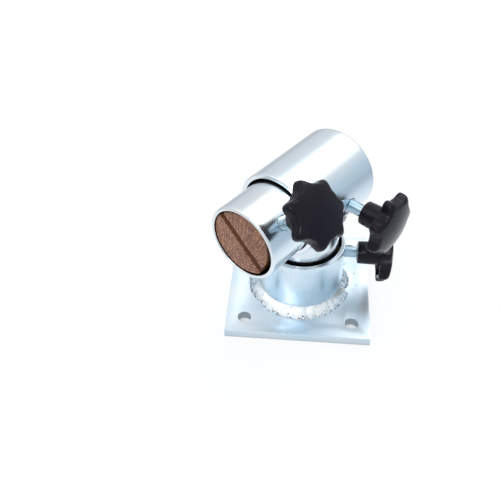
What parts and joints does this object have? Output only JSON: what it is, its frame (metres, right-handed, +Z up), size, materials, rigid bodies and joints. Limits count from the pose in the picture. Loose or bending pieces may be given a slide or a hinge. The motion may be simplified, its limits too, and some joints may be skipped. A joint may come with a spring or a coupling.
{
  "type": "knife vise",
  "caption": "Knife vise: a square base plate, a swivelling post and a head in which a jaw tube turns. A star-knob screw closes two oak jaws, and two more lock the swivel and the tube.",
  "frame": {"origin": "centre of the base plate's underside, on the swivel axis", "axes": "+X along the plate's front edge towards the base lock's knob, +Y away from the jaws' side of the plate, +Z up"},
  "size_m": [0.1476, 0.1551, 0.1712],
  "materials": {
    "zinc_plated_steel": "bright zinc plating, satin, slightly blue",
    "weld_metal": "plated weld bead, rippled",
    "oak": "oiled oak, sawn end grain",
    "black_plastic": "glossy black moulding",
    "brass": "turned"
  },
  "bodies": {
    "base": {"base_plate": "zinc_plated_steel", "base_tube": "zinc_plated_steel", "base_weld": "weld_metal"},
    "head": {"swivel_post": "zinc_plated_steel", "post_weld": "weld_metal", "head_tube": "zinc_plated_steel"},
    "jaw_barrel": {"jaw_tube": "zinc_plated_steel", "fixed_jaw": "oak", "fixed_jaw_screw_front": "zinc_plated_steel", "fixed_jaw_screw_rear": "zinc_plated_steel"},
    "moving_jaw": {"moving_jaw": "oak", "pressure_plate": "zinc_plated_steel", "pressure_plate_screw_left": "zinc_plated_steel", "pressure_plate_screw_right": "zinc_plated_steel"},
    "clamp_screw": {"clamp_stud": "zinc_plated_steel", "clamp_knob": "black_plastic", "clamp_clip": "zinc_plated_steel"},
    "head_lock_pad": {"head_lock_pad": "brass"},
    "head_lock_screw": {"head_lock_stud": "zinc_plated_steel", "head_lock_knob": "black_plastic"},
    "base_lock_pad": {"base_lock_pad": "brass"},
    "base_lock_screw": {"base_lock_stud": "zinc_plated_steel", "base_lock_knob": "black_plastic"}
  },
  "joints": [
    {"name": "head_swivel", "type": "hinge", "parent": "base", "child": "head", "pos_m": [0, 0, 0], "axis": [0, 0, 1], "continuous": true},
    {"name": "barrel_turn", "type": "hinge", "parent": "head", "child": "jaw_barrel", "pos_m": [0, 0, 0.10755], "axis": [-0.5906, -0.807, 0], "range_deg": [-50, 145]},
    {"name": "jaw_slide", "type": "slide", "parent": "jaw_barrel", "child": "moving_jaw", "axis": [0.5997, -0.4389, 0.6691], "range_m": [-0.00513, 0.00187]},
    {"name": "clamp_turn", "type": "hinge", "parent": "moving_jaw", "child": "clamp_screw", "pos_m": [-0.03248, -0.04438, 0.10755], "axis": [0.5997, -0.4389, 0.6691], "range_deg": [-1230, 450]},
    {"name": "head_lock_slide", "type": "slide", "parent": "head", "child": "head_lock_pad", "axis": [0.807, -0.5906, 0], "range_m": [0, 0.00225]},
    {"name": "head_lock_turn", "type": "hinge", "parent": "head_lock_pad", "child": "head_lock_screw", "pos_m": [0.0065, 0.00888, 0.1085], "axis": [0.807, -0.5906, 0], "range_deg": [0, 540]},
    {"name": "base_lock_slide", "type": "slide", "parent": "base", "child": "base_lock_pad", "axis": [1, 0, 0], "range_m": [0, 0.00225]},
    {"name": "base_lock_turn", "type": "hinge", "parent": "base_lock_pad", "child": "base_lock_screw", "pos_m": [0, 0, 0.0475], "axis": [1, 0, 0], "range_deg": [0, 540]}
  ],
  "couplings": [
    {"joint": "clamp_turn", "follows": "jaw_slide", "rad_per_m": 4188.8},
    {"joint": "head_lock_turn", "follows": "head_lock_slide", "rad_per_m": 4188.8},
    {"joint": "base_lock_turn", "follows": "base_lock_slide", "rad_per_m": 4188.8}
  ]
}
